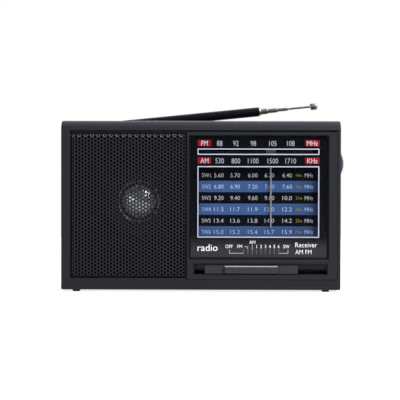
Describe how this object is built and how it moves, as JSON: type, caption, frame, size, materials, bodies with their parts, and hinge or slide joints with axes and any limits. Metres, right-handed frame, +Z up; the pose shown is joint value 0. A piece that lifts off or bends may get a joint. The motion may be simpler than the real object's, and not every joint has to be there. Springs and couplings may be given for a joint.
{
  "type": "shortwave receiver",
  "caption": "Portable battery shortwave receiver with a perforated speaker grille, slide-rule dial, band slider, side thumbwheels and a telescopic antenna.",
  "frame": {"origin": "bottom centre of the whole radio's box, on the plane its four feet stand on", "axes": "+X right seen from the front, +Y from the front panel to the back, +Z up"},
  "size_m": [0.203, 0.065, 0.1382],
  "materials": {
    "case_plastic": "fine textured charcoal moulding",
    "bezel_plastic": "satin charcoal moulding",
    "slider_plastic": "satin dark grey moulding",
    "grille_metal": "punched sheet, dark satin paint",
    "lens_acrylic": "clear moulding printed black from behind",
    "dial_card": "printed blue and black bands",
    "pointer_plastic": "beige needle",
    "chrome": "bright plated tube",
    "steel": "zinc-plated sheet and pins",
    "brass": "turned, bare",
    "aluminium": "bright drawn sheet",
    "ferrite": "sintered ferrite, dark and dull",
    "paper": "pressed black paper pulp",
    "rubber": "black rubber",
    "board_resin": "phenolic paper board",
    "pale_plastic": "natural nylon",
    "black_plastic": "black moulding",
    "copper": "enamelled copper winding",
    "cord_thread": "waxed braided thread"
  },
  "bodies": {
    "case": {"front_shell": "case_plastic", "rear_shell": "case_plastic", "foot_front_left": "rubber", "foot_front_right": "rubber", "foot_rear_left": "rubber", "foot_rear_right": "rubber", "case_screw_1": "steel", "case_screw_2": "steel", "case_screw_3": "steel", "case_screw_4": "steel", "speaker_grille": "grille_metal", "dial_bezel": "bezel_plastic", "dial_lens": "lens_acrylic", "dial_plate": "dial_card", "dial_chassis": "steel", "pointer_rail": "steel", "dial_cord": "cord_thread", "main_board": "board_resin", "tuning_capacitor": "pale_plastic", "volume_pot": "steel", "audio_ic": "black_plastic", "if_can_1": "aluminium", "if_can_2": "aluminium", "electrolytic_capacitor": "black_plastic", "ferrite_rod": "ferrite", "antenna_coil": "copper", "rod_holder_left": "pale_plastic", "rod_holder_right": "pale_plastic", "switch_board": "board_resin", "band_switch": "black_plastic", "earphone_jack": "black_plastic", "dc_jack": "black_plastic", "battery_spring": "steel", "battery_plate": "steel", "speaker_basket": "steel", "speaker_cone": "paper", "speaker_dust_cap": "aluminium", "speaker_magnet": "ferrite", "speaker_yoke": "steel", "speaker_wire": "rubber", "antenna_bracket": "steel"},
    "tuning": {"tuning_wheel": "black_plastic", "tuning_spindle": "brass"},
    "pointer": {"dial_pointer": "pointer_plastic"},
    "drum": {"cord_drum": "pale_plastic"},
    "idler_a": {"idler_left": "pale_plastic"},
    "idler_b": {"idler_right": "pale_plastic"},
    "volume": {"volume_wheel": "black_plastic"},
    "band": {"band_slider": "slider_plastic", "switch_lever": "black_plastic"},
    "door": {"battery_door": "case_plastic"},
    "swivel": {"antenna_swivel": "steel", "knuckle_pin": "steel"},
    "mast": {"antenna_tube": "black_plastic", "antenna_collar": "chrome"},
    "mast_1": {"antenna_section_1": "chrome"},
    "mast_2": {"antenna_section_2": "chrome"},
    "mast_3": {"antenna_section_3": "chrome"},
    "mast_4": {"antenna_section_4": "chrome", "antenna_tip": "chrome"}
  },
  "joints": [
    {"name": "tuning_turn", "type": "hinge", "parent": "case", "child": "tuning", "pos_m": [0.0855, -0.0135, 0.0919], "axis": [0, 1, 0], "range_deg": [-560.07, 242.07]},
    {"name": "pointer_slide", "type": "slide", "parent": "case", "child": "pointer", "axis": [1, 0, 0], "range_m": [-0.0392, 0.017]},
    {"name": "drum_turn", "type": "hinge", "parent": "case", "child": "drum", "pos_m": [0.0385, -0.0205, 0.0675], "axis": [0, 1, 0], "range_deg": [-126.36, 54.9]},
    {"name": "idler_left_turn", "type": "hinge", "parent": "case", "child": "idler_a", "pos_m": [0.0005, -0.0205, 0.0969], "axis": [0, 1, 0], "range_deg": [-700.58, 303.09]},
    {"name": "idler_right_turn", "type": "hinge", "parent": "case", "child": "idler_b", "pos_m": [0.0725, -0.0205, 0.0969], "axis": [0, 1, 0], "range_deg": [-700.58, 303.09]},
    {"name": "volume_turn", "type": "hinge", "parent": "case", "child": "volume", "pos_m": [0.0864, -0.0155, 0.0595], "axis": [0, 1, 0], "range_deg": [-120, 180]},
    {"name": "band_slide", "type": "slide", "parent": "case", "child": "band", "axis": [1, 0, 0], "range_m": [-0.0063, 0.0189]},
    {"name": "door_hinge", "type": "hinge", "parent": "case", "child": "door", "pos_m": [-0.0015, 0.03125, 0.0067], "axis": [-1, 0, 0], "range_deg": [0, 90]},
    {"name": "antenna_swing", "type": "hinge", "parent": "case", "child": "swivel", "pos_m": [-0.0879, 0.0271, 0.1182], "axis": [0, -1, 0], "range_deg": [-5.7, 174.3]},
    {"name": "antenna_tilt", "type": "hinge", "parent": "swivel", "child": "mast", "pos_m": [-0.0879, 0.0271, 0.1182], "axis": [-0.0993, 0, 0.9951], "range_deg": [0, 90]},
    {"name": "antenna_slide_1", "type": "slide", "parent": "mast", "child": "mast_1", "axis": [0.9951, 0, 0.0993], "range_m": [-0.0064, 0.0935]},
    {"name": "antenna_slide_2", "type": "slide", "parent": "mast_1", "child": "mast_2", "axis": [0.9951, 0, 0.0993], "range_m": [-0.0072, 0.0925]},
    {"name": "antenna_slide_3", "type": "slide", "parent": "mast_2", "child": "mast_3", "axis": [0.9951, 0, 0.0993], "range_m": [-0.0083, 0.0915]},
    {"name": "antenna_slide_4", "type": "slide", "parent": "mast_3", "child": "mast_4", "axis": [0.9951, 0, 0.0993], "range_m": [-0.0151, 0.083]}
  ],
  "couplings": [
    {"joint": "pointer_slide", "follows": "tuning_turn", "m_per_rad": 0.004},
    {"joint": "drum_turn", "follows": "tuning_turn", "ratio": 0.22472},
    {"joint": "idler_left_turn", "follows": "tuning_turn", "ratio": 1.25},
    {"joint": "idler_right_turn", "follows": "tuning_turn", "ratio": 1.25}
  ]
}
